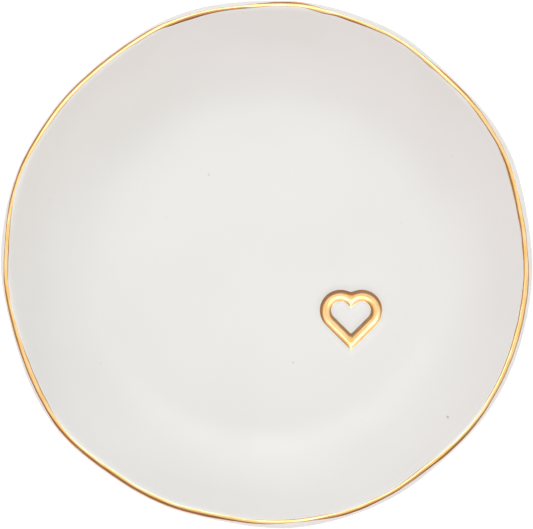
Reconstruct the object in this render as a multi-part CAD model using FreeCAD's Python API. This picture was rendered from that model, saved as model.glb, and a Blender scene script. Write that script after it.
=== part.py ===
"""Ring dish: a shallow hand-formed ceramic dish with an uneven rim, a gold line painted on its lip
and a small gilded heart pressed into its floor. Millimetres, +Z up, with the origin on the table
under the middle of the dish. It is one fired piece: a clay body under its coats of glaze and gold."""

import FreeCAD, Part
import math
import os

from FreeCAD import Vector

# Dish, measured over the glaze
RIM_DIAMETER = 102.0
DISH_HEIGHT = 19.0
LIP_RADIUS = 1.1
FLOOR_THICKNESS = 3.2
COVE_RADIUS = 16.0
# How far in from the rim the slope of the wall, carried on straight, would meet the floor
WALL_RUN = 11.0

# Foot ring under the floor
FOOT_HEIGHT = 1.8
FOOT_WIDTH = 3.5
FOOT_INSET = 1.2
FOOT_EDGE_RADIUS = 0.6

# Coats
GLAZE_THICKNESS = 0.35
GOLD_THICKNESS = 0.15

# Gold line on the lip, measured along the curve of the lip
LINE_WIDTH = 1.1

# Heart, drawn by the middle of its stroke: a square on its corner with a half circle on each upper side
HEART_X = 16.8
HEART_Y = -10.8
HEART_SIDE = 5.9
STROKE_WIDTH = 2.3
STROKE_DEPTH = 0.5
# How deep below the floor the gold ends on the sides of the groove
GOLD_BELOW_FLOOR = 0.3

# Unevenness of the rim: degrees from +X, and how far the rim leans out there, in shares of its radius
RIM_LEAN_SHARES = [
    (10, 0.006), (25, 0.017), (47, -0.003), (60, 0.006), (70, 0.003), (80, 0.002), (91, -0.005),
    (108, 0.001), (128, -0.014), (146, -0.005), (160, 0.004), (178, 0.003), (195, -0.008), (217, 0.008),
    (236, -0.009), (246, -0.009), (258, -0.015), (279, 0.004), (300, 0.005), (310, -0.001), (331, 0.011),
    (352, 0.008),
]
# How far the rim sinks where it leans out, as a share of the lean
LEAN_DROP_SHARE = 0.5
# Wander of the gold line: degrees from +X, and how much of the bare lip lies inside the line there
LINE_PLACE_SHARES = [
    (5, 0.12), (19, 0.03), (29, 0.08), (42, 0.36), (57, 0.12), (70, 0.06), (76, 0.13), (84, 0.46),
    (97, 0.11), (108, 0.11), (117, 0.30), (128, 0.41), (141, 0.38), (163, 0.41), (176, 0.19), (190, 0.42),
    (210, 0.27), (222, 0.43), (243, 0.47), (255, 0.45), (266, 0.30), (277, 0.04), (290, 0.30), (303, 0.19),
    (317, 0.41), (332, 0.21), (354, 0.24),
]

# Rings of surface poles are cubic and closed, so they stand this much outside the curve they draw
POLES_AROUND = 72
POLE_SPREAD = 3 / (2 + math.cos(2 * math.pi / POLES_AROUND))

# Heights and radii that follow
RIM_RADIUS = RIM_DIAMETER / 2
WALL_MEETS_FLOOR = RIM_RADIUS - WALL_RUN
FLOOR_BOTTOM = FOOT_HEIGHT
FLOOR_TOP = FLOOR_BOTTOM + FLOOR_THICKNESS

# Angles in the section are measured from straight up, outward
UP = 0.0
OUTWARD = math.pi / 2
DOWN = math.pi
INWARD = 3 * math.pi / 2


def at(centre, radius, angle):
    """Point of the section on a circle."""
    return (centre[0] + radius * math.sin(angle), centre[1] + radius * math.cos(angle))


LIP_CENTRE = (RIM_RADIUS - LIP_RADIUS, DISH_HEIGHT - LIP_RADIUS)


def slope_of_wall():
    """Slope of the inner wall, which runs from its meeting with the floor to the top side of the lip."""
    run = LIP_CENTRE[0] - WALL_MEETS_FLOOR
    rise = LIP_CENTRE[1] - FLOOR_TOP
    return math.atan2(rise, run) + math.asin(LIP_RADIUS / math.hypot(run, rise))


WALL_SLOPE = slope_of_wall()
COVE_CENTRE = (
    WALL_MEETS_FLOOR - COVE_RADIUS * math.tan(WALL_SLOPE / 2),
    FLOOR_TOP + COVE_RADIUS,
)
WALL_FACING = -WALL_SLOPE
BELLY_FACING = DOWN - WALL_SLOPE


def radius_of_belly():
    """Radius of the curve from the underside into the outer wall, which is parallel to the inner wall."""
    out = math.sin(BELLY_FACING)
    up = math.cos(BELLY_FACING)
    reach = (LIP_CENTRE[0] - COVE_CENTRE[0]) * out + (LIP_CENTRE[1] - FLOOR_BOTTOM) * up + LIP_RADIUS
    return reach / (1 + up)


BELLY_RADIUS = radius_of_belly()
BELLY_CENTRE = (COVE_CENTRE[0], FLOOR_BOTTOM + BELLY_RADIUS)
FOOT_OUTER_RADIUS = COVE_CENTRE[0] - FOOT_INSET
FOOT_INNER_RADIUS = FOOT_OUTER_RADIUS - FOOT_WIDTH


def around(stations, degrees):
    """Value of a table of stations at an angle, eased from each station to the next."""
    first, last = stations[0], stations[-1]
    closed = [(last[0] - 360, last[1])] + stations + [(first[0] + 360, first[1])]
    for (start, value), (end, next_value) in zip(closed, closed[1:]):
        if start <= degrees <= end:
            ease = (1 - math.cos(math.pi * (degrees - start) / (end - start))) / 2
            return value + (next_value - value) * ease


def on_dish(radius, height, degrees):
    """Pole at this place of the section, leaning with the rim more the higher it is above the floor."""
    climb = min(max((height - FLOOR_TOP) / (DISH_HEIGHT - FLOOR_TOP), 0), 1)
    lean = RIM_RADIUS * around(RIM_LEAN_SHARES, degrees) * climb**2 * (3 - 2 * climb)
    reach = (radius + lean) * POLE_SPREAD
    turn = math.radians(degrees)
    return Vector(reach * math.cos(turn), reach * math.sin(turn), height - LEAN_DROP_SHARE * lean)


# Pieces of a section: lists of poles (radius, height, weight)


def straight(start, end):
    return [(*start, 1), (*end, 1)]


def arc(centre, radius, start, end):
    half = (end - start) / 2
    weight = math.cos(half)
    corner = at(centre, radius / weight, start + half)
    return [(*at(centre, radius, start), 1), (*corner, weight), (*at(centre, radius, end), 1)]


def backwards(section):
    return [piece[::-1] for piece in section[::-1]]


def skin(depth, lip_stops):
    """Section from the middle of the bowl over the lip to the foot, this deep under the glaze's face."""
    lip = LIP_RADIUS - depth
    cove = COVE_RADIUS + depth
    belly = BELLY_RADIUS - depth
    floor_middle = (0, FLOOR_TOP - depth)
    floor_edge = at(COVE_CENTRE, cove, DOWN)
    wall_foot = at(COVE_CENTRE, cove, DOWN + WALL_FACING)
    wall_top = at(LIP_CENTRE, lip, WALL_FACING)
    belly_top = at(LIP_CENTRE, lip, BELLY_FACING)
    belly_curve = at(BELLY_CENTRE, belly, BELLY_FACING)
    belly_edge = at(BELLY_CENTRE, belly, DOWN)
    foot_root = (FOOT_OUTER_RADIUS, FLOOR_BOTTOM + depth)
    stops = [WALL_FACING, *lip_stops, BELLY_FACING]
    return [
        straight(floor_middle, floor_edge),
        arc(COVE_CENTRE, cove, DOWN, DOWN + WALL_FACING),
        straight(wall_foot, wall_top),
        *[arc(LIP_CENTRE, lip, start, end) for start, end in zip(stops, stops[1:])],
        straight(belly_top, belly_curve),
        arc(BELLY_CENTRE, belly, BELLY_FACING, DOWN),
        straight(belly_edge, foot_root),
    ]


def line_edges(degrees):
    """Inner and outer edge of the gold line on the lip."""
    width = LINE_WIDTH / LIP_RADIUS
    bare = BELLY_FACING - WALL_FACING - width
    inner = WALL_FACING + bare * around(LINE_PLACE_SHARES, degrees)
    return inner, inner + width


def foot_section():
    """Foot ring, from its root on the outside to its root on the inside."""
    root = FLOOR_BOTTOM + GLAZE_THICKNESS
    outer_edge = (FOOT_OUTER_RADIUS - FOOT_EDGE_RADIUS, FOOT_EDGE_RADIUS)
    inner_edge = (FOOT_INNER_RADIUS + FOOT_EDGE_RADIUS, FOOT_EDGE_RADIUS)
    return [
        straight((FOOT_OUTER_RADIUS, root), at(outer_edge, FOOT_EDGE_RADIUS, OUTWARD)),
        arc(outer_edge, FOOT_EDGE_RADIUS, OUTWARD, DOWN),
        straight(at(outer_edge, FOOT_EDGE_RADIUS, DOWN), at(inner_edge, FOOT_EDGE_RADIUS, DOWN)),
        arc(inner_edge, FOOT_EDGE_RADIUS, DOWN, INWARD),
        straight(at(inner_edge, FOOT_EDGE_RADIUS, INWARD), (FOOT_INNER_RADIUS, root)),
    ]


def body_section(degrees):
    base_edge = (FOOT_INNER_RADIUS, FLOOR_BOTTOM + GLAZE_THICKNESS)
    base_middle = (0, FLOOR_BOTTOM + GLAZE_THICKNESS)
    return [*skin(GLAZE_THICKNESS, [UP]), *foot_section(), straight(base_edge, base_middle)]


def glaze_section(degrees):
    face = skin(0, line_edges(degrees))
    back = backwards(skin(GLAZE_THICKNESS, [UP]))
    stop = straight(
        (FOOT_OUTER_RADIUS, FLOOR_BOTTOM),
        (FOOT_OUTER_RADIUS, FLOOR_BOTTOM + GLAZE_THICKNESS),
    )
    return [*face, stop, *back]


def base_section(degrees):
    top = FLOOR_BOTTOM + GLAZE_THICKNESS
    return [
        straight((0, top), (FOOT_INNER_RADIUS, top)),
        straight((FOOT_INNER_RADIUS, top), (FOOT_INNER_RADIUS, FLOOR_BOTTOM)),
        straight((FOOT_INNER_RADIUS, FLOOR_BOTTOM), (0, FLOOR_BOTTOM)),
    ]


def line_section(degrees):
    inner, outer = line_edges(degrees)
    face = LIP_RADIUS + GOLD_THICKNESS
    return [
        arc(LIP_CENTRE, face, inner, outer),
        straight(at(LIP_CENTRE, face, outer), at(LIP_CENTRE, LIP_RADIUS, outer)),
        arc(LIP_CENTRE, LIP_RADIUS, outer, inner),
        straight(at(LIP_CENTRE, LIP_RADIUS, inner), at(LIP_CENTRE, face, inner)),
    ]


def band(pieces, angles):
    """Surface of one piece of the section, carried round the dish."""
    poles = [
        [on_dish(radius, height, degrees) for radius, height, weight in piece]
        for piece, degrees in zip(pieces, angles)
    ]
    weights = [[weight for radius, height, weight in piece] for piece in pieces]
    across = len(pieces[0])
    surface = Part.BSplineSurface()
    surface.buildFromPolesMultsKnots(
        poles,
        [1] * (POLES_AROUND + 1), [across, across],
        range(POLES_AROUND + 1), [0, 1],
        True, False, 3, across - 1, weights,
    )
    return surface


def flat_face(piece, surface):
    """Flat disc or ring between the circles that a level piece of the section draws."""
    ends = [(pole[0], side) for pole, side in zip(piece, (0, 1)) if pole[0] > 0]
    circles = [Part.Wire(surface.vIso(side).toShape()) for radius, side in sorted(ends, reverse=True)]
    return Part.makeFace(circles, "Part::FaceMakerBullseye")


def carried_round(section):
    """Solid that a closed section draws when it goes round the dish."""
    angles = [360 * step / POLES_AROUND for step in range(POLES_AROUND)]
    sections = [section(degrees) for degrees in angles]
    faces = []
    for pieces in zip(*sections):
        surface = band(pieces, angles)
        level = len(pieces[0]) == 2 and pieces[0][0][1] == pieces[0][1][1]
        faces.append(flat_face(pieces[0], surface) if level else surface.toShape())
    shell = Part.Compound(faces)
    shell.sewShape()
    solid = Part.makeSolid(shell.Shells[0])
    return solid if solid.Volume > 0 else solid.reversed()


# Round-bottomed groove of the heart, over the glaze: its radius, and the heights of gold edges and middle
GROOVE_RADIUS = ((STROKE_WIDTH / 2)**2 + STROKE_DEPTH**2) / (2 * STROKE_DEPTH)
GOLD_TOP = FLOOR_TOP - GOLD_BELOW_FLOOR
GROOVE_MIDDLE = GOLD_TOP - STROKE_DEPTH + GROOVE_RADIUS


def half_heart(radius):
    """Right half of a round bar bent to the heart, cut square at the heart's middle plane."""
    half_diagonal = HEART_SIDE / math.sqrt(2)
    height = 3 * half_diagonal / 2 + HEART_SIDE / 2
    tip = Vector(HEART_X, HEART_Y - height / 2, GROOVE_MIDDLE)
    notch = tip + Vector(0, 2 * half_diagonal, 0)
    corner = tip + Vector(half_diagonal, half_diagonal, 0)
    flank = Vector(1, 1, 0).normalize()
    lobe_top = (corner + notch) / 2 + flank * HEART_SIDE / 2
    past_middle = flank * 2 * radius
    path = Part.Wire([
        Part.makeLine(tip - past_middle, corner),
        Part.Arc(corner, lobe_top, notch).toShape(),
        Part.makeLine(notch, notch - past_middle),
    ])
    ring = Part.Wire(Part.makeCircle(radius, tip - past_middle, flank))
    right_side = Part.makeBox(RIM_DIAMETER, RIM_DIAMETER, DISH_HEIGHT, Vector(HEART_X, -RIM_RADIUS, 0))
    return path.makePipeShell([ring], True, False).common(right_side)


def heart_bar(radius):
    """The whole bent bar, with its middle at the middle of the groove's curve."""
    right = half_heart(radius)
    left = right.mirror(Vector(HEART_X, 0, 0), Vector(1, 0, 0))
    return right.fuse(left)


def heart_plug(radius, top):
    """Part of that bar that lies below a level."""
    below = Part.makeBox(RIM_DIAMETER, RIM_DIAMETER, top, Vector(-RIM_RADIUS, -RIM_RADIUS, 0))
    return heart_bar(radius).common(below)


def clay_body():
    return carried_round(body_section).cut(heart_bar(GROOVE_RADIUS + GLAZE_THICKNESS))


def white_glaze():
    """Coat over the bowl, the lip and the outside, which also lines the groove of the heart."""
    coat = carried_round(glaze_section)
    lining = heart_plug(GROOVE_RADIUS + GLAZE_THICKNESS, FLOOR_TOP - GLAZE_THICKNESS / 2)
    return coat.fuse(lining).cut(heart_bar(GROOVE_RADIUS))


def base_glaze():
    """Coat on the underside, inside the bare foot ring."""
    return carried_round(base_section)


def gold_rim():
    return carried_round(line_section)


def gold_heart():
    return heart_plug(GROOVE_RADIUS, GOLD_TOP).cut(heart_bar(GROOVE_RADIUS - GOLD_THICKNESS))


NODES = (clay_body, white_glaze, base_glaze, gold_rim, gold_heart)

os.makedirs("parts", exist_ok=True)
for node in NODES:
    shape = node()
    shape.exportStep("parts/" + node.__name__ + ".step")
    print(node.__name__, len(shape.Solids), shape.isValid(), round(shape.Volume, 2))
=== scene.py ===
import math

import bmesh
import bpy
import numpy as np
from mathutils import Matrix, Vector
from mathutils.geometry import delaunay_2d_cdt


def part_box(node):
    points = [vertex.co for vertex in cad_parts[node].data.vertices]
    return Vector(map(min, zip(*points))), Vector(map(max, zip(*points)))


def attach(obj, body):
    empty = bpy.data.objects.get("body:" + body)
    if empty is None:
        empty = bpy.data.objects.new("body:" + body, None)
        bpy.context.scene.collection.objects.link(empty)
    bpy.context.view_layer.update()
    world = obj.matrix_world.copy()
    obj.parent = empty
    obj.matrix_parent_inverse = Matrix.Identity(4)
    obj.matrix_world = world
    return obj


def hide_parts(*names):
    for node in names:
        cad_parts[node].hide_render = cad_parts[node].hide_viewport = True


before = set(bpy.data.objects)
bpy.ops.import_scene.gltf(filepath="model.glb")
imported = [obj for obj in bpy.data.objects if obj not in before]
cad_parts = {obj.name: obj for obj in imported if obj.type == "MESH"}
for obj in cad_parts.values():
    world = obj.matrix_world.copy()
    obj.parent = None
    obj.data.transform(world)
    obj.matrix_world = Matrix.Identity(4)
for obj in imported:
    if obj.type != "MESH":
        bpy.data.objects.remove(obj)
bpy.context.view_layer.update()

# Sizes that the frame gives, in metres
BASE_LOW, BASE_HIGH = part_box("base_glaze")
HEART_LOW, HEART_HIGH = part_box("gold_heart")
FLOOR_BOTTOM = BASE_LOW.z
GLAZE = BASE_HIGH.z - BASE_LOW.z
STROKE_DEPTH = HEART_HIGH.z - HEART_LOW.z

# Sizes of the section, as the solids have them, in metres
RIM_RADIUS = 0.0510
DISH_HEIGHT = 0.0190
LIP_RADIUS = 0.0011
FLOOR_THICKNESS = 0.0032
FLOOR_TOP = FLOOR_BOTTOM + FLOOR_THICKNESS
COVE_RADIUS = 0.0160
WALL_RUN = 0.0110
FOOT_WIDTH = 0.0035
FOOT_INSET = 0.0012
FOOT_EDGE_RADIUS = 0.0006
# Rounding at the root of the foot ring, and the bare clay between it and the rolled edges of the glaze
ROOT_RADIUS = 0.0003
BARE_WIDTH = 0.0002
BARE_WANDER = 0.00012

# Heart, drawn by the middle of its stroke
HEART_SIDE = 0.0059
STROKE_WIDTH = 0.0023
HEART_X = (HEART_LOW.x + HEART_HIGH.x) / 2
HEART_TIP_Y = HEART_LOW.y + STROKE_WIDTH / math.sqrt(2)
GROOVE_RADIUS = ((STROKE_WIDTH / 2)**2 + STROKE_DEPTH**2) / (2 * STROKE_DEPTH)
GROOVE_DEPTH = FLOOR_TOP - HEART_LOW.z
# Slope of the groove's sides above its round bottom, and how softly the floor runs down to them
SIDE_DEGREES = 40
SHOULDER = 0.00080
# How far the fine net of the floor reaches from the middle of the stroke, outward and inward
HEART_REACH_OUT = 0.0034
HEART_REACH_IN = 0.0024

# Gold, thickest along the middle of the stroke
GOLD_FILM = 0.00005
GOLD_EDGE = 0.000008
GOLD_BITE = 0.00002
LINE_WIDTH = 0.0011
LINE_WANDER = 0.00004
# Half width of a stroke of the brush in the pattern of its streaks, which run along it
STREAK_SIDE = 0.005
# How far thin, browner lustre reaches in from the outer edge of the heart's stroke, as a share of its width,
# and how browner gold fades and wanders, in shares of half the width, on the heart and where the lip line
# has painted dark reflection
HEART_THIN_SHARE = 0.05
THIN_AND_SHADE_FADE_SHARE = 0.5
THIN_AND_SHADE_WANDER_SHARE = 0.2

# Unevenness of the rim: degrees from +X, and how far the rim leans out there, in shares of its radius
RIM_LEAN_SHARES = [
    (10, 0.006), (25, 0.017), (47, -0.003), (60, 0.006), (70, 0.003), (80, 0.002), (91, -0.005),
    (108, 0.001), (128, -0.014), (146, -0.005), (160, 0.004), (178, 0.003), (195, -0.008), (217, 0.008),
    (236, -0.009), (246, -0.009), (258, -0.015), (279, 0.004), (300, 0.005), (310, -0.001), (331, 0.011),
    (352, 0.008),
]
LEAN_DROP_SHARE = 0.5
# Wander of the gold line: degrees from +X, and how much of the bare lip lies inside the line there
LINE_PLACE_SHARES = [
    (5, 0.12), (19, 0.03), (29, 0.08), (42, 0.36), (57, 0.12), (70, 0.06), (76, 0.13), (84, 0.46),
    (97, 0.11), (108, 0.11), (117, 0.30), (128, 0.41), (141, 0.38), (163, 0.41), (176, 0.19), (190, 0.42),
    (210, 0.27), (222, 0.43), (243, 0.47), (255, 0.45), (266, 0.30), (277, 0.04), (290, 0.30), (303, 0.19),
    (317, 0.41), (332, 0.21), (354, 0.24),
]
# Width of the gold line: degrees from +X, and the share of its width that the brush filled there
LINE_WIDTH_SHARES = [
    (2, 1.0), (18, 1.05), (30, 0.80), (45, 0.95), (60, 0.60), (72, 0.68), (84, 1.0), (96, 0.58),
    (108, 0.90), (120, 0.80), (130, 0.90), (144, 1.0), (162, 0.80), (186, 0.92), (207, 1.10), (222, 0.95),
    (243, 1.10), (255, 1.12), (268, 0.90), (278, 0.72), (285, 0.85), (292, 0.95), (300, 0.82), (308, 1.0),
    (324, 0.88), (350, 1.12),
]
# Bare stretches along the outer edge of the gold line: degrees from +X, and the share of its width left bare
LINE_BARE_SHARES = [
    (15, 0.0), (135, 0.0), (150, 0.05), (168, 0.08), (178, 0.09), (190, 0.0), (210, 0.1), (224, 0.0),
    (236, 0.0), (248, 0.08), (256, 0.09), (270, 0.16), (285, 0.07), (294, 0.12), (305, 0.1), (315, 0.08),
    (330, 0.12), (345, 0.1), (358, 0.08),
]
# Browner gold on the lip line: thin lustre near its edges, and painted dark reflection where it reaches far
# across, standing for the dark of the room that the line mirrors there. Degrees from +X, and how far it
# reaches in from the outer edge, as a share of the width, or from the inner edge if negative
LINE_THIN_AND_SHADE_SHARES = [
    (0, -0.1), (12, -0.1), (24, 0.0), (42, 0.05), (54, 0.0), (62, -0.2), (72, -0.7), (79, 0.0), (85, 0.55),
    (91, 0.3), (96, -0.8), (106, -1.0), (112, -0.6), (117, 0.3), (130, 0.25), (147, 0.2), (158, 0.4),
    (166, 0.3), (174, 0.0), (184, 0.0), (195, 0.05), (206, 0.3), (218, 0.45), (242, 0.55), (258, 0.65),
    (268, 0.1), (278, 0.1), (285, 0.7), (300, 0.65), (315, 0.4), (330, 0.4), (340, 0.1), (350, -0.2),
]
# Waves that make an edge uneven: how many go round the dish, and where each starts, in degrees
LINE_INNER_WAVES = [(29, 40), (43, 200), (71, 300)]
LINE_OUTER_WAVES = [(31, 150), (53, 80), (83, 10)]
GLAZE_EDGE_WAVES = [(5, 20), (13, 110), (31, 250)]
BASE_EDGE_WAVES = [(4, 75), (11, 10), (23, 140)]

# Specks in the glaze: where they are, seen from above, their radius, and how dark they are, as a share
SPECKS = [
    ((0.0353, -0.0297), 0.00017, 1.0), ((-0.0112, 0.0176), 0.00017, 0.45), ((0.0054, -0.0194), 0.00013, 0.6),
    ((-0.0324, -0.0195), 0.00011, 0.35), ((0.0267, 0.0081), 0.00011, 0.3), ((0.0364, 0.0212), 0.00014, 0.2),
    ((-0.0195, 0.0091), 0.00009, 0.35), ((-0.0421, 0.0125), 0.00013, 0.2), ((0.0245, -0.0314), 0.00010, 0.25),
]

# Colours: the two tones of each material, of specks, and of thin lustre, which on the lip line is also
# painted dark reflection, and roughness from gloss to satin
GLAZE_TONES = (0.806, 0.797, 0.770), (0.820, 0.812, 0.788)
SPECK_TONE = (0.50, 0.46, 0.40)
GLAZE_ROUGHNESS = 0.40, 0.48
GLAZE_INDEX = 1.5
GOLD_TONES = (0.92, 0.52, 0.18), (0.98, 0.66, 0.34)
THIN_AND_SHADE_TONE = (0.69, 0.34, 0.15)
GOLD_ROUGHNESS = 0.14, 0.24
CLAY_TONES = (0.56, 0.50, 0.42), (0.68, 0.63, 0.55)
CLAY_ROUGHNESS = 0.8, 0.95

# Patterns in the materials: how fine they are, and how much detail they have
CLOUD_SCALE = 45
GLAZE_SHEEN_SCALE = 240
WAVE_SCALE = 110
PEEL_SCALE = 1400
STREAK_SCALE = 260
PATCH_SCALE = 90
GOLD_SHEEN_SCALE = 900
GRAIN_SCALE = 900
SOFT_DETAIL = 1.0
PEEL_DETAIL = 2.0
USUAL_DETAIL = 3.0
GRAIN_DETAIL = 5.0
USUAL_HARSHNESS = 0.5
GRAIN_HARSHNESS = 0.65
# The part of a pattern's range that is spread over all of what it drives
WHOLE = 0, 1
WIDE_SHARES = 0.3, 0.7
NARROW_SHARES = 0.35, 0.65

# Relief in the materials: its depth and its strength
WAVE_RELIEF = 0.0003, 0.25
PEEL_RELIEF = 0.00003, 0.25
BRUSH_RELIEF = 0.00002, 0.5
GRAIN_RELIEF = 0.00008, 0.5
TURNING_RELIEF = 0.00010, 0.4
# Rings that turning leaves on the foot: their spacing and wander, and the radians in a metre at a scale of 1
TURNING_SPACING = 0.0006
TURNING_WANDER = 2.0
RING_RADIANS = 20

# Fineness of the meshes
AROUND = 360
LINE_AROUND = 1080
LINE_ACROSS = 14
HEART_ACROSS = 29
COVE_STEPS = 16
WALL_STEPS = 10
LIP_STEPS = 26
BELLY_STEPS = 12
EDGE_STEPS = 6
FLAT_STEPS = 4
BED_LINES = 47
INNER_LINES = 7
OUTER_LINES = 12
FLOOR_STEP = 0.0012
FLANK_STEPS = 40
LOBE_STEPS = 64
SOFTENING_ROUNDS = 10
# Corners sharper than this stay sharp, and points nearer to each other than this are joined
SHARP_DEGREES = 50
WELD = 0.000001
FILL_WELD = WELD / 10
FILL_INSIDE = 1

# The room: where its light comes from, and for dark and light, cosines from there, levels and colours
ROOM_TOWARDS = (-0.06, 0.25, 0.96)
ROOM_COSINES = 0.58, 0.79
ROOM_LEVELS = 0.35, 1.08
ROOM_COLOURS = (1.0, 0.84, 0.84), (0.96, 1.0, 0.99)
# Lamps: name, place, width and length, power in watts, colour, and whether body colour or gloss shows them
FILL_AWAY = 0.95
FILL_UP = 0.44
FILL_SIDES = (0.60, 0.60)
WHITE = (1.0, 1.0, 1.0)
COOL_WHITE = (0.92, 0.95, 1.0)
ROSE_WHITE = (1.0, 0.94, 0.97)
GREEN_WHITE = (0.95, 1.0, 0.97)
LAMPS = [
    ("back_card", (-0.07, 0.34, 0.83), (0.84, 0.42), 2.2, WHITE, False, True),
    ("front_fill", (0.0, -FILL_AWAY, FILL_UP), FILL_SIDES, 3.0, ROSE_WHITE, True, False),
    ("back_fill", (0.0, FILL_AWAY, FILL_UP), FILL_SIDES, 2.3, COOL_WHITE, True, False),
    ("left_fill", (-FILL_AWAY, 0.0, FILL_UP), FILL_SIDES, 2.05, ROSE_WHITE, True, False),
    ("right_fill", (FILL_AWAY, 0.0, FILL_UP), FILL_SIDES, 2.25, GREEN_WHITE, True, False),
]

# Table, and the camera straight above with the photograph's framing
TABLE_SIDE = 8.0
TABLE_TONE = 0.88
TABLE_GLOW = 0.32
CAMERA_DISTANCE = 0.6
CAMERA_X = 0.00013
CAMERA_Y = -0.00008
SENSOR_WIDTH = 36.0
PHOTO_PIXELS = 533
PIXEL_SIZE = 0.0001925

OUTWARD = math.pi / 2
DOWN = math.pi
INWARD = 3 * math.pi / 2


def at(centre, radius, angle):
    """Points of the section on a circle; angles run from straight up, outward."""
    return np.stack([centre[0] + radius * np.sin(angle), centre[1] + radius * np.cos(angle)], -1)


# Where the section's curves meet, worked out as for the solids
LIP_CENTRE = (RIM_RADIUS - LIP_RADIUS, DISH_HEIGHT - LIP_RADIUS)
WALL_FOOT_RUN = LIP_CENTRE[0] - (RIM_RADIUS - WALL_RUN)
WALL_FOOT_RISE = LIP_CENTRE[1] - FLOOR_TOP
WALL_SLOPE = math.atan2(WALL_FOOT_RISE, WALL_FOOT_RUN) + math.asin(
    LIP_RADIUS / math.hypot(WALL_FOOT_RUN, WALL_FOOT_RISE)
)
WALL_FACING = -WALL_SLOPE
BELLY_FACING = DOWN - WALL_SLOPE
COVE_CENTRE = (
    RIM_RADIUS - WALL_RUN - COVE_RADIUS * math.tan(WALL_SLOPE / 2),
    FLOOR_TOP + COVE_RADIUS,
)
BELLY_REACH = (
    (LIP_CENTRE[0] - COVE_CENTRE[0]) * math.sin(BELLY_FACING)
    + (LIP_CENTRE[1] - FLOOR_BOTTOM) * math.cos(BELLY_FACING) + LIP_RADIUS
)
BELLY_RADIUS = BELLY_REACH / (1 + math.cos(BELLY_FACING))
BELLY_CENTRE = (COVE_CENTRE[0], FLOOR_BOTTOM + BELLY_RADIUS)
FOOT_OUTER_RADIUS = COVE_CENTRE[0] - FOOT_INSET
FOOT_INNER_RADIUS = FOOT_OUTER_RADIUS - FOOT_WIDTH
FOOT_ROOT = FLOOR_BOTTOM + GLAZE


def all_round(count):
    """This many angles round the dish, in degrees."""
    return 360 * np.arange(count) / count


def circle(turns):
    """Points at these turns on a flat circle of radius 1."""
    return np.stack([np.cos(turns), np.sin(turns)], -1)


def around(stations, degrees):
    """Value of a table of stations at each angle, eased from one station to the next."""
    first, last = stations[0], stations[-1]
    closed = [(last[0] - 360, last[1])] + stations + [(first[0] + 360, first[1])]
    angles, values = np.array(closed, float).T
    place = np.searchsorted(angles, degrees, side="right") - 1
    share = (degrees - angles[place]) / (angles[place + 1] - angles[place])
    ease = (1 - np.cos(np.pi * share)) / 2
    return values[place] + (values[place + 1] - values[place]) * ease


def wander(waves, degrees):
    """Unevenness of an edge at each angle, between -1 and 1."""
    return sum(np.sin(np.radians(count * degrees + start)) for count, start in waves) / len(waves)


def on_dish(radius, height, degrees):
    """Points at these places of the section, leaning with the rim as the solids do."""
    climb = np.clip((height - FLOOR_TOP) / (DISH_HEIGHT - FLOOR_TOP), 0, 1)
    lean = RIM_RADIUS * around(RIM_LEAN_SHARES, degrees) * climb**2 * (3 - 2 * climb)
    turn = np.radians(degrees)
    reach = radius + lean
    drop = LEAN_DROP_SHARE * lean
    return np.stack([reach * np.cos(turn), reach * np.sin(turn), height - drop], -1)


def carried_round(rows, degrees, moves=0):
    """Grid of points, one line of it for each angle, from a section whose points may move outward."""
    radius = rows[None, :, 0] + moves
    return on_dish(radius, rows[None, :, 1], degrees[:, None])


def grid_faces(count_around, count_across, closed_across=False):
    """Quads of a grid that closes on itself all round, and across too if asked."""
    faces = []
    last = count_across if closed_across else count_across - 1
    for i in range(count_around):
        here = i * count_across
        there = (i + 1) % count_around * count_across
        for j in range(last):
            k = (j + 1) % count_across
            faces.append((here + j, there + j, there + k, here + k))
    return faces


def ring_face(count_around, count_across, place):
    """One face across the hole that a line of the grid's points leaves."""
    return tuple(k * count_across + place for k in range(count_around))


def welded(mesh):
    """Joins the parts of a mesh where they meet, smooth except over sharp corners."""
    shape = bmesh.new()
    shape.from_mesh(mesh)
    bmesh.ops.remove_doubles(shape, verts=shape.verts, dist=WELD)
    bmesh.ops.dissolve_degenerate(shape, edges=shape.edges, dist=WELD)
    bmesh.ops.recalc_face_normals(shape, faces=shape.faces)
    for face in shape.faces:
        face.smooth = True
    for edge in shape.edges:
        edge.smooth = edge.calc_face_angle(0) < math.radians(SHARP_DEGREES)
    shape.to_mesh(mesh)
    shape.free()


def mark_points(mesh, name, kind, field, values):
    """Gives each point of a mesh a value that its material can read."""
    layer = mesh.attributes.new(name, kind, "POINT")
    layer.data.foreach_set(field, np.ravel(values).astype(np.float32))


def make_piece(name, parts, material, replaced, strokes=None):
    """One closed mesh from parts (points, faces); strokes give its points' places on them, and how far
    browner gold lies over them, as thin lustre and, on the lip line, painted dark reflection.
    """
    mesh = bpy.data.meshes.new(name)
    points, faces = [], []
    for part_points, part_faces in parts:
        start = len(points)
        points.extend(map(tuple, np.reshape(part_points, (-1, 3))))
        faces.extend(tuple(start + k for k in face) for face in part_faces)
    mesh.from_pydata(points, [], faces)
    if strokes is not None:
        places, thin_and_shade = strokes
        mark_points(mesh, "stroke", "FLOAT_VECTOR", "vector", places)
        mark_points(mesh, "thin_and_shade", "FLOAT", "value", thin_and_shade)
    welded(mesh)
    piece = bpy.data.objects.new(name, mesh)
    bpy.context.scene.collection.objects.link(piece)
    mesh.materials.append(material)
    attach(piece, "root")
    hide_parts(replaced)
    return piece


# Sections of the coats


def run(start, end, steps):
    """Points along a straight stretch, without its first."""
    share = np.linspace(0, 1, steps + 1)[1:, None]
    return np.array(start) * (1 - share) + np.array(end) * share


def bend(centre, radius, start, end, steps):
    """Points along a round stretch, without its first."""
    return at(centre, radius, np.linspace(start, end, steps + 1)[1:])


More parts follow.
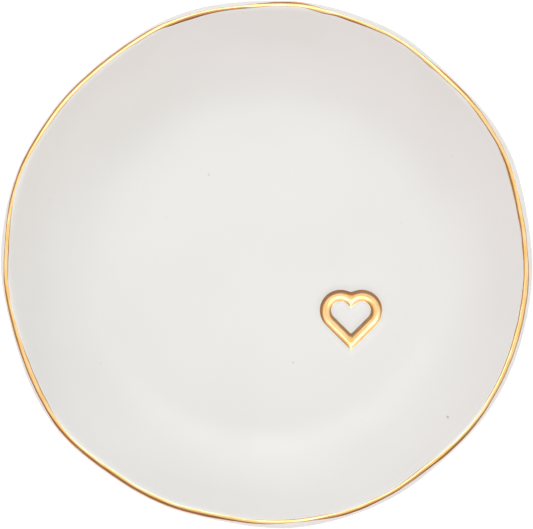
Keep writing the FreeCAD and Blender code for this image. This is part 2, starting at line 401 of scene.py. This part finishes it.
def skin_rows(depth):
    """Section from the edge of the floor over the lip to the underside, this deep under the glaze's face."""
    lip = LIP_RADIUS - depth
    cove = COVE_RADIUS + depth
    belly = BELLY_RADIUS - depth
    wall_foot = at(COVE_CENTRE, cove, DOWN + WALL_FACING)
    wall_top = at(LIP_CENTRE, lip, WALL_FACING)
    belly_top = at(LIP_CENTRE, lip, BELLY_FACING)
    belly_curve = at(BELLY_CENTRE, belly, BELLY_FACING)
    return np.concatenate([
        [at(COVE_CENTRE, cove, DOWN)],
        bend(COVE_CENTRE, cove, DOWN, DOWN + WALL_FACING, COVE_STEPS),
        run(wall_foot, wall_top, WALL_STEPS),
        bend(LIP_CENTRE, lip, WALL_FACING, BELLY_FACING, LIP_STEPS),
        run(belly_top, belly_curve, WALL_STEPS),
        bend(BELLY_CENTRE, belly, BELLY_FACING, DOWN, BELLY_STEPS),
    ])


# Heart in the floor


def softened(loop):
    """A closed line with its corners rounded a little."""
    for _ in range(SOFTENING_ROUNDS):
        loop = (np.roll(loop, 1, 0) + 2 * loop + np.roll(loop, -1, 0)) / 4
    return loop


def heart_loop(offset):
    """Closed line at this distance outside the middle of the heart's stroke, negative inside."""
    half_diagonal = HEART_SIDE / math.sqrt(2)
    along = np.linspace(-offset, HEART_SIDE, FLANK_STEPS + 1)
    flank = np.stack([along + offset, along - offset], -1) / math.sqrt(2)
    centre = np.array([half_diagonal / 2, 3 * half_diagonal / 2])
    radius = HEART_SIDE / 2 + offset
    first = -math.pi / 4
    last = min(3 * math.pi / 4, math.acos(-centre[0] / radius)) if offset > 0 else 3 * math.pi / 4
    straight = max(-offset, 0)
    length = radius * (last - first) + straight
    place = np.linspace(0, length, LOBE_STEPS + 1)[1:]
    turn = np.minimum(first + place / radius, last)
    beyond = np.maximum(place - radius * (last - first), 0)
    lobe = centre + radius * circle(turn)
    lobe = lobe - beyond[:, None] / math.sqrt(2)
    right = np.concatenate([flank, lobe])
    left = (right * (-1, 1))[-2:0:-1]
    return softened(np.concatenate([right, left])) + (HEART_X, HEART_TIP_Y)


def trough(offset, radius, level):
    """Height of a round-bottomed groove against the floor's face, eased into a level beside it."""
    side = math.radians(SIDE_DEGREES)
    within = np.minimum(np.abs(offset), radius * math.sin(side))
    groove = GROOVE_RADIUS - GROOVE_DEPTH - np.sqrt(radius**2 - within**2)
    groove = groove + math.tan(side) * (np.abs(offset) - within)
    near = np.maximum(SHOULDER - np.abs(groove - level), 0) / SHOULDER
    return np.minimum(groove, level) - near**2 * SHOULDER / 4


def glaze_height(offset):
    """Face of the glaze across the stroke."""
    return trough(offset, GROOVE_RADIUS, 0)


def clay_height(offset):
    """Face of the clay across the stroke, under the glaze."""
    return trough(offset, GROOVE_RADIUS + GLAZE, -GLAZE)


def offsets_across():
    """Distances from the middle of the stroke at which the floor around the heart has a line of points."""
    bed = STROKE_WIDTH / 2 + SHOULDER
    return np.concatenate([
        np.linspace(-HEART_REACH_IN, -bed, INNER_LINES)[:-1],
        np.linspace(-bed, bed, BED_LINES),
        np.linspace(bed, HEART_REACH_OUT, OUTER_LINES)[1:],
    ])


def inside(loop, spots):
    """Which of the spots lie inside a closed line, found by how often it turns round them."""
    here = loop[None] - spots[:, None]
    there = np.roll(here, -1, 1)
    cross = here[..., 0] * there[..., 1] - here[..., 1] * there[..., 0]
    turn = np.arctan2(cross, (here * there).sum(2)).sum(1)
    return np.abs(turn) > math.pi


def filled(outline, hole, scatter):
    """Triangles that fill the flat space inside an outline, around a hole and through scattered points."""
    points, edges = [], []
    for loop in (outline, hole):
        start = len(points)
        points.extend(map(Vector, loop))
        edges.extend((start + k, start + (k + 1) % len(loop)) for k in range(len(loop)))
    points.extend(map(Vector, scatter))
    found, _, faces, *_ = delaunay_2d_cdt(points, edges, [], FILL_INSIDE, FILL_WELD)
    found = np.array([tuple(point) for point in found])
    faces = np.array([tuple(face) for face in faces])
    if len(hole):
        faces = faces[~inside(hole, found[faces].mean(1))]
    return found, faces.tolist()


def floor_scatter(hole):
    """Points in rings over the floor, clear of the heart."""
    spots = [(0.0, 0.0)]
    for ring in np.arange(FLOOR_STEP, COVE_CENTRE[0] - FLOOR_STEP / 2, FLOOR_STEP):
        count = round(2 * math.pi * ring / FLOOR_STEP)
        turns = 2 * math.pi * np.arange(count) / count
        spots.extend(zip(ring * np.cos(turns), ring * np.sin(turns)))
    spots = np.array(spots)
    gap = np.linalg.norm(spots[:, None] - hole[None], axis=2).min(1)
    return spots[(gap > FLOOR_STEP / 2) & ~inside(hole, spots)]


def floor_net(degrees):
    """The floor as flat points, faces, and each point's distance from the middle of the stroke."""
    offsets = offsets_across()
    loops = [heart_loop(offset) for offset in offsets]
    count = len(loops[0])
    ribbon = np.stack(loops, 1).reshape(-1, 2)
    island, island_faces = filled(loops[0], [], [])
    edge = COVE_CENTRE[0] * circle(np.radians(degrees))
    field, field_faces = filled(edge, loops[-1], floor_scatter(loops[-1]))
    return [
        (ribbon, grid_faces(count, len(offsets)), np.tile(offsets, count)),
        (island, island_faces, np.full(len(island), offsets[0])),
        (field, field_faces, np.full(len(field), offsets[-1])),
    ]


def floor_parts(net, height):
    """The floor's net, lifted to the height that a function of the distance from the stroke gives."""
    parts = []
    for points, faces, offsets in net:
        lifted = np.column_stack([points, FLOOR_TOP + height(offsets)])
        parts.append((lifted, faces))
    return parts


# Materials


def shader(name):
    """A new material, with its tree and its principled shader."""
    material = bpy.data.materials.new(name)
    material.use_nodes = True
    return material, material.node_tree, material.node_tree.nodes["Principled BSDF"]


def add(tree, kind, **fields):
    """A new node with these fields set."""
    node = tree.nodes.new(kind)
    for key, value in fields.items():
        setattr(node, key, value)
    return node


def noise(tree, vector, scale, detail=USUAL_DETAIL, harshness=USUAL_HARSHNESS):
    """Output of a noise texture over a vector."""
    node = add(tree, "ShaderNodeTexNoise")
    node.inputs["Scale"].default_value = scale
    node.inputs["Detail"].default_value = detail
    node.inputs["Roughness"].default_value = harshness
    tree.links.new(vector, node.inputs["Vector"])
    return node.outputs["Fac"]


def spread(tree, value, source, target):
    """A value taken from one range to another, eased at its ends."""
    node = add(tree, "ShaderNodeMapRange", interpolation_type="SMOOTHSTEP")
    for key, number in zip(("From Min", "From Max", "To Min", "To Max"), (*source, *target)):
        node.inputs[key].default_value = number
    tree.links.new(value, node.inputs["Value"])
    return node.outputs["Result"]


def combined(tree, operation, first, second):
    """Two values taken together; the second may be a number."""
    node = add(tree, "ShaderNodeMath", operation=operation)
    tree.links.new(first, node.inputs[0])
    if isinstance(second, (int, float)):
        node.inputs[1].default_value = second
    else:
        tree.links.new(second, node.inputs[1])
    return node.outputs[0]


def mix(tree, factor, first, second):
    """Colour between two colours, each a colour or a socket."""
    node = add(tree, "ShaderNodeMix", data_type="RGBA")
    tree.links.new(factor, node.inputs["Factor"])
    for key, colour in (("A", first), ("B", second)):
        socket = next(s for s in node.inputs if s.name == key and s.type == "RGBA")
        if isinstance(colour, tuple):
            socket.default_value = (*colour, 1)
        else:
            tree.links.new(colour, socket)
    return next(s for s in node.outputs if s.type == "RGBA")


def bump(tree, height, relief, normal=None):
    """Normal with relief of this depth and strength on it, over another relief if given."""
    depth, strength = relief
    node = add(tree, "ShaderNodeBump")
    node.inputs["Distance"].default_value = depth
    node.inputs["Strength"].default_value = strength
    tree.links.new(height, node.inputs["Height"])
    if normal:
        tree.links.new(normal, node.inputs["Normal"])
    return node.outputs["Normal"]


def object_place(tree):
    """Where a point is on the object."""
    return add(tree, "ShaderNodeTexCoord").outputs["Object"]


def specks(tree, place):
    """How dark the specks of the glaze are, and 0 elsewhere."""
    seen_from_above = add(tree, "ShaderNodeVectorMath", operation="MULTIPLY")
    tree.links.new(place, seen_from_above.inputs[0])
    seen_from_above.inputs[1].default_value = (1, 1, 0)
    found = None
    for (x, y), radius, share in SPECKS:
        away = add(tree, "ShaderNodeVectorMath", operation="DISTANCE")
        tree.links.new(seen_from_above.outputs[0], away.inputs[0])
        away.inputs[1].default_value = (x, y, 0)
        speck = spread(tree, away.outputs["Value"], (radius / 2, radius * 2), (share, 0))
        found = combined(tree, "MAXIMUM", found, speck) if found else speck
    return found


def glaze_material():
    """Satin white glaze: faint clouds of tone, a few specks, soft waves and orange peel, and uneven sheen."""
    material, tree, surface = shader("white_glaze")
    place = object_place(tree)
    clouds = spread(tree, noise(tree, place, CLOUD_SCALE, SOFT_DETAIL), WIDE_SHARES, WHOLE)
    clean = mix(tree, clouds, *GLAZE_TONES)
    tree.links.new(mix(tree, specks(tree, place), clean, SPECK_TONE), surface.inputs["Base Color"])
    sheen = spread(tree, noise(tree, place, GLAZE_SHEEN_SCALE), WIDE_SHARES, GLAZE_ROUGHNESS)
    tree.links.new(sheen, surface.inputs["Roughness"])
    surface.inputs["IOR"].default_value = GLAZE_INDEX
    waves = bump(tree, noise(tree, place, WAVE_SCALE, SOFT_DETAIL), WAVE_RELIEF)
    peel = bump(tree, noise(tree, place, PEEL_SCALE, PEEL_DETAIL), PEEL_RELIEF, waves)
    tree.links.new(peel, surface.inputs["Normal"])
    return material


def gold_material():
    """Bright gold lustre in streaks along the brush's stroke, thinner and browner at the stroke's edges, and
    with painted dark reflection in brown across stretches of the lip line.
    """
    material, tree, surface = shader("gold")
    stroke = add(tree, "ShaderNodeAttribute", attribute_name="stroke").outputs["Vector"]
    reach = add(tree, "ShaderNodeAttribute", attribute_name="thin_and_shade").outputs["Fac"]
    streaks = noise(tree, stroke, STREAK_SCALE)
    even = mix(tree, spread(tree, streaks, NARROW_SHARES, WHOLE), *GOLD_TONES)
    wander_shares = -THIN_AND_SHADE_WANDER_SHARE, THIN_AND_SHADE_WANDER_SHARE
    patches = spread(tree, noise(tree, stroke, PATCH_SCALE, SOFT_DETAIL), WIDE_SHARES, wander_shares)
    # Browner gold: thin lustre at the strokes' edges, and on the lip line painted dark reflection
    thin_and_shade = spread(tree, combined(tree, "ADD", reach, patches), (0, THIN_AND_SHADE_FADE_SHARE), WHOLE)
    tree.links.new(mix(tree, thin_and_shade, even, THIN_AND_SHADE_TONE), surface.inputs["Base Color"])
    surface.inputs["Metallic"].default_value = 1.0
    sheen = spread(tree, noise(tree, object_place(tree), GOLD_SHEEN_SCALE), WIDE_SHARES, GOLD_ROUGHNESS)
    tree.links.new(sheen, surface.inputs["Roughness"])
    tree.links.new(bump(tree, streaks, BRUSH_RELIEF), surface.inputs["Normal"])
    return material


def clay_material():
    """Bare fired clay: buff, matt and grainy, with the rings that turning leaves on the foot."""
    material, tree, surface = shader("bare_clay")
    place = object_place(tree)
    grain = noise(tree, place, GRAIN_SCALE, GRAIN_DETAIL, GRAIN_HARSHNESS)
    grain = spread(tree, grain, NARROW_SHARES, WHOLE)
    tree.links.new(mix(tree, grain, *CLAY_TONES), surface.inputs["Base Color"])
    tree.links.new(spread(tree, grain, WHOLE, CLAY_ROUGHNESS), surface.inputs["Roughness"])
    rings = add(tree, "ShaderNodeTexWave", wave_type="RINGS", rings_direction="Z")
    rings.inputs["Scale"].default_value = 2 * math.pi / RING_RADIANS / TURNING_SPACING
    rings.inputs["Distortion"].default_value = TURNING_WANDER
    tree.links.new(place, rings.inputs["Vector"])
    turning = bump(tree, rings.outputs["Fac"], TURNING_RELIEF)
    tree.links.new(bump(tree, grain, GRAIN_RELIEF, turning), surface.inputs["Normal"])
    return material


# Pieces


def white_glaze(material, net, degrees):
    """Coat over the bowl, the lip and the outside, rolled over to the clay at its uneven end by the foot."""
    face = skin_rows(0)
    back = skin_rows(GLAZE)[::-1]
    edge = (FOOT_OUTER_RADIUS + ROOT_RADIUS + BARE_WIDTH + GLAZE, FOOT_ROOT)
    roll = bend(edge, GLAZE, DOWN, INWARD, EDGE_STEPS)
    section = np.concatenate([face, [at(edge, GLAZE, DOWN)], roll, back])
    moving = np.zeros(len(section))
    moving[len(face):len(section) - len(back)] = BARE_WANDER
    moves = moving * wander(GLAZE_EDGE_WAVES, degrees)[:, None]
    grid = carried_round(section, degrees, moves)
    faces = grid_faces(len(degrees), len(section))
    floor = floor_parts(net, glaze_height) + floor_parts(net, clay_height)
    return make_piece("white_glaze_coat", [(grid, faces), *floor], material, "white_glaze")


def foot_rows():
    """Section of the foot ring, from its root on the outside to its root on the inside."""
    outer_root = (FOOT_OUTER_RADIUS + ROOT_RADIUS, FOOT_ROOT - ROOT_RADIUS)
    inner_root = (FOOT_INNER_RADIUS - ROOT_RADIUS, FOOT_ROOT - ROOT_RADIUS)
    outer_edge = (FOOT_OUTER_RADIUS - FOOT_EDGE_RADIUS, FOOT_EDGE_RADIUS)
    inner_edge = (FOOT_INNER_RADIUS + FOOT_EDGE_RADIUS, FOOT_EDGE_RADIUS)
    outer_side = at(outer_root, ROOT_RADIUS, -OUTWARD)
    inner_side = at(inner_edge, FOOT_EDGE_RADIUS, INWARD)
    sole = [at(edge, FOOT_EDGE_RADIUS, DOWN) for edge in (outer_edge, inner_edge)]
    return np.concatenate([
        [at(outer_root, ROOT_RADIUS, 0)],
        bend(outer_root, ROOT_RADIUS, 0, -OUTWARD, EDGE_STEPS),
        run(outer_side, at(outer_edge, FOOT_EDGE_RADIUS, OUTWARD), FLAT_STEPS),
        bend(outer_edge, FOOT_EDGE_RADIUS, OUTWARD, DOWN, EDGE_STEPS),
        run(*sole, FLAT_STEPS),
        bend(inner_edge, FOOT_EDGE_RADIUS, DOWN, INWARD, EDGE_STEPS),
        run(inner_side, at(inner_root, ROOT_RADIUS, OUTWARD), FLAT_STEPS),
        bend(inner_root, ROOT_RADIUS, OUTWARD, 0, EDGE_STEPS),
    ])


def clay_body(material, net, degrees):
    """Clay under the coats, with its foot ring."""
    foot = foot_rows()
    underside = run(foot[-1], (FLOOR_STEP, FOOT_ROOT), WALL_STEPS)
    section = np.concatenate([skin_rows(GLAZE), foot, underside])
    grid = carried_round(section, degrees)
    faces = grid_faces(len(degrees), len(section))
    faces.append(ring_face(len(degrees), len(section), len(section) - 1))
    parts = [(grid, faces), *floor_parts(net, clay_height)]
    return make_piece("clay_with_foot_ring", parts, material, "clay_body")


def base_glaze(material, degrees):
    """Disc of glaze on the underside, with an uneven rolled edge inside the foot ring."""
    edge = (FOOT_INNER_RADIUS - ROOT_RADIUS - BARE_WIDTH - GLAZE, FOOT_ROOT)
    rim = at(edge, GLAZE, OUTWARD)
    top = np.concatenate([[(FLOOR_STEP, FOOT_ROOT)], run((FLOOR_STEP, FOOT_ROOT), rim, WALL_STEPS)])
    roll = bend(edge, GLAZE, OUTWARD, DOWN, EDGE_STEPS)
    face = run(roll[-1], (FLOOR_STEP, FLOOR_BOTTOM), WALL_STEPS)
    section = np.concatenate([top, roll, face])
    moving = np.zeros(len(section))
    moving[len(top) - 1:len(top) + len(roll)] = BARE_WANDER
    moves = moving * wander(BASE_EDGE_WAVES, degrees)[:, None]
    grid = carried_round(section, degrees, moves)
    faces = grid_faces(len(degrees), len(section))
    faces.append(ring_face(len(degrees), len(section), 0))
    faces.append(ring_face(len(degrees), len(section), len(section) - 1))
    return make_piece("underside_glaze", [(grid, faces)], material, "base_glaze")


def on_lip(offset, lift):
    """Places of the section this far outward along the skin from the lip's crest, and this high on it."""
    angle = np.clip(offset / LIP_RADIUS, WALL_FACING, BELLY_FACING)
    beyond = offset - angle * LIP_RADIUS
    place = at(LIP_CENTRE, LIP_RADIUS + lift, angle)
    return place + beyond[..., None] * np.stack([np.cos(angle), -np.sin(angle)], -1)


def film(across):
    """Thickness of gold across a stroke, where across runs from -1 to 1."""
    return GOLD_EDGE + (GOLD_FILM - GOLD_EDGE) * np.sqrt(1 - across**4)


def stroke_places(middle, across):
    """Where points are on a stroke: along its middle, and across it from -1 to 1, as the streaks need it."""
    side = np.broadcast_to(across * STREAK_SIDE, (len(middle), len(across)))
    along = np.broadcast_to(middle[:, None], (*side.shape, 2))
    return np.concatenate([along, side[..., None]], -1)


def thinness_and_shade(reach, across):
    """How far points lie in browner gold at a stroke's outer edge, or its inner one if reach is negative:
    thin lustre, and on the lip line painted dark reflection.
    """
    return np.sign(reach) * across - 1 + 2 * np.abs(reach)


def gold_rim(material):
    """Line painted on the lip, of uneven width, browner in stretches: thin lustre, and painted dark
    reflection.
    """
    degrees = all_round(LINE_AROUND)
    lip_length = (BELLY_FACING - WALL_FACING) * LIP_RADIUS
    start = WALL_FACING * LIP_RADIUS + (lip_length - LINE_WIDTH) * around(LINE_PLACE_SHARES, degrees)
    outer = start + LINE_WIDTH + LINE_WANDER * wander(LINE_OUTER_WAVES, degrees)
    width = LINE_WIDTH * around(LINE_WIDTH_SHARES, degrees)
    inner = outer - width + LINE_WANDER * wander(LINE_INNER_WAVES, degrees)
    outer = outer - LINE_WIDTH * around(LINE_BARE_SHARES, degrees)
    across = np.linspace(-1, 1, LINE_ACROSS)
    middle = (inner + outer)[:, None] / 2
    offset = middle + (outer - inner)[:, None] / 2 * across
    face = on_lip(offset, film(across))
    back = on_lip(offset[:, ::-1], np.full(LINE_ACROSS, -GOLD_BITE))
    section = np.concatenate([face, back], 1)
    grid = on_dish(section[..., 0], section[..., 1], degrees[:, None])
    faces = grid_faces(LINE_AROUND, 2 * LINE_ACROSS, closed_across=True)
    ring = RIM_RADIUS * circle(np.radians(degrees))
    there_and_back = np.concatenate([across, across[::-1]])
    # Brown on the line from its table: thin lustre at the edges, painted dark reflection where it reaches far
    # across
    thin_and_shade = thinness_and_shade(around(LINE_THIN_AND_SHADE_SHARES, degrees)[:, None], there_and_back)
    strokes = (stroke_places(ring, there_and_back), thin_and_shade)
    return make_piece("gold_lip_line", [(grid, faces)], material, "gold_rim", strokes)


def gold_heart(material):
    """Gold that lines the groove of the heart."""
    across = np.linspace(-1, 1, HEART_ACROSS)
    there_and_back = np.concatenate([across, across[::-1]])
    offsets = there_and_back * STROKE_WIDTH / 2
    lifts = np.concatenate([film(across), np.full(HEART_ACROSS, -GOLD_BITE)])
    flat = np.stack([heart_loop(offset) for offset in offsets], 1)
    height = np.broadcast_to(FLOOR_TOP + glaze_height(offsets) + lifts, flat.shape[:2])
    grid = np.concatenate([flat, height[..., None]], -1)
    faces = grid_faces(len(flat), len(offsets), closed_across=True)
    thin_and_shade = np.broadcast_to(thinness_and_shade(HEART_THIN_SHARE, there_and_back), flat.shape[:2])
    strokes = (stroke_places(heart_loop(0), there_and_back), thin_and_shade)
    return make_piece("gold_heart_inlay", [(grid, faces)], material, "gold_heart", strokes)


# Stage


def table():
    """Pale table, white to the eye, that keeps the dish's shadow."""
    half = TABLE_SIDE / 2
    corners = [(-half, -half, 0), (half, -half, 0), (half, half, 0), (-half, half, 0)]
    mesh = bpy.data.meshes.new("table")
    mesh.from_pydata(corners, [], [(0, 1, 2, 3)])
    top = bpy.data.objects.new("table", mesh)
    bpy.context.scene.collection.objects.link(top)
    material, tree, surface = shader("table_white")
    surface.inputs["Base Color"].default_value = (TABLE_TONE, TABLE_TONE, TABLE_TONE, 1)
    surface.inputs["Roughness"].default_value = 1.0
    surface.inputs["Specular IOR Level"].default_value = 0.0
    path = add(tree, "ShaderNodeLightPath").outputs
    seen = combined(tree, "MAXIMUM", path["Is Camera Ray"], path["Is Glossy Ray"])
    seen = combined(tree, "MAXIMUM", seen, path["Is Transmission Ray"])
    surface.inputs["Emission Color"].default_value = (1, 1, 1, 1)
    tree.links.new(combined(tree, "MULTIPLY", seen, TABLE_GLOW), surface.inputs["Emission Strength"])
    mesh.materials.append(material)


def world_light():
    """White room, light overhead and behind the dish, darker low down and in front."""
    world = bpy.data.worlds.new("room")
    bpy.context.scene.world = world
    world.use_nodes = True
    tree = world.node_tree
    background = tree.nodes["Background"]
    facing = add(tree, "ShaderNodeVectorMath", operation="DOT_PRODUCT")
    tree.links.new(add(tree, "ShaderNodeTexCoord").outputs["Generated"], facing.inputs[0])
    facing.inputs[1].default_value = Vector(ROOM_TOWARDS).normalized()
    light = spread(tree, facing.outputs["Value"], ROOM_COSINES, WHOLE)
    tree.links.new(mix(tree, light, *ROOM_COLOURS), background.inputs["Color"])
    tree.links.new(spread(tree, light, WHOLE, ROOM_LEVELS), background.inputs["Strength"])


def add_lamp(name, place, sides, power, colour, in_body, in_gloss):
    """Soft lamp that faces the dish: a card that only gloss shows, or a fill that evens out the light."""
    light = bpy.data.lights.new(name, "AREA")
    light.shape = "RECTANGLE"
    light.size, light.size_y = sides
    light.energy = power
    light.color = colour
    lamp = bpy.data.objects.new(name, light)
    lamp.location = place
    lamp.rotation_euler = (-Vector(place)).to_track_quat("-Z", "Y").to_euler()
    lamp.visible_diffuse = in_body
    lamp.visible_glossy = in_gloss
    bpy.context.scene.collection.objects.link(lamp)


def camera():
    """Straight above the dish, with the rim as wide in the frame as in the photograph."""
    data = bpy.data.cameras.new("camera")
    eye = bpy.data.objects.new("camera", data)
    bpy.context.scene.collection.objects.link(eye)
    data.sensor_width = SENSOR_WIDTH
    data.lens = SENSOR_WIDTH * CAMERA_DISTANCE / (PHOTO_PIXELS * PIXEL_SIZE)
    eye.location = (CAMERA_X, CAMERA_Y, DISH_HEIGHT + CAMERA_DISTANCE)
    bpy.context.scene.camera = eye


degrees = all_round(AROUND)
net = floor_net(degrees)
glaze = glaze_material()
gold = gold_material()
white_glaze(glaze, net, degrees)
clay_body(clay_material(), net, degrees)
base_glaze(glaze, degrees)
gold_rim(gold)
gold_heart(gold)
table()
world_light()
for lamp in LAMPS:
    add_lamp(*lamp)
camera()
bpy.context.scene.view_settings.view_transform = "Standard"
